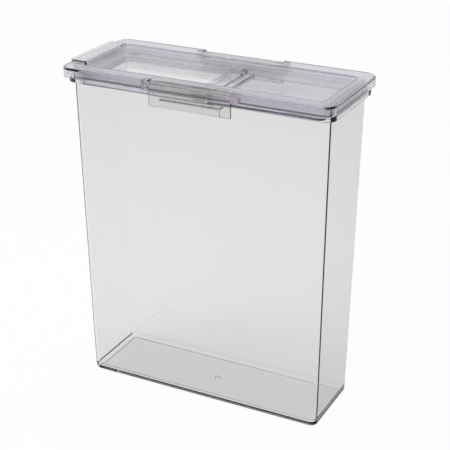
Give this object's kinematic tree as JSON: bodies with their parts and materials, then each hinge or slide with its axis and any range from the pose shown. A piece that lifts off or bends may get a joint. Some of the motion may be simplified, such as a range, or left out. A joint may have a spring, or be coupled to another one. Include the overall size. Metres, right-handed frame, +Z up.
{
  "type": "pet food bin",
  "caption": "Tall narrow clear storage bin with a latched lift-off lid and a hinged pour flap, for dry pet food.",
  "frame": {"origin": "centre of the base, on the surface that the bin stands on", "axes": "+Z up, X along the width with the pour flap on the -X side, front face towards -Y"},
  "size_m": [0.2985, 0.126, 0.3593],
  "materials": {
    "bin_plastic": "clear polished moulded plastic",
    "lid_plastic": "clear polished moulded plastic with a faint violet cast",
    "latch_plastic": "clear polished moulded plastic",
    "seal_silicone": "translucent silicone",
    "pin_steel": "bright drawn steel"
  },
  "bodies": {
    "bin": {"bin": "bin_plastic"},
    "lid": {"lid_frame": "lid_plastic", "lid_seal": "seal_silicone", "flap_hinge_pin_front": "pin_steel", "flap_hinge_pin_rear": "pin_steel", "front_latch_pin_left": "pin_steel", "front_latch_pin_right": "pin_steel", "rear_latch_pin_left": "pin_steel", "rear_latch_pin_right": "pin_steel"},
    "flap": {"pour_flap": "lid_plastic", "flap_seal": "seal_silicone"},
    "front_latch": {"front_latch": "latch_plastic"},
    "rear_latch": {"rear_latch": "latch_plastic"}
  },
  "joints": [
    {"name": "lid_lift", "type": "slide", "parent": "bin", "child": "lid", "axis": [0, 0, 1], "range_m": [0, 0.12]},
    {"name": "flap_hinge", "type": "hinge", "parent": "lid", "child": "flap", "pos_m": [0.0085, 0, 0.344], "axis": [0, 1, 0], "range_deg": [0, 105]},
    {"name": "front_latch_swing", "type": "hinge", "parent": "lid", "child": "front_latch", "pos_m": [0, -0.0558, 0.3545], "axis": [-1, 0, 0], "range_deg": [0, 100]},
    {"name": "rear_latch_swing", "type": "hinge", "parent": "lid", "child": "rear_latch", "pos_m": [0, 0.0558, 0.3545], "axis": [1, 0, 0], "range_deg": [0, 100]}
  ]
}
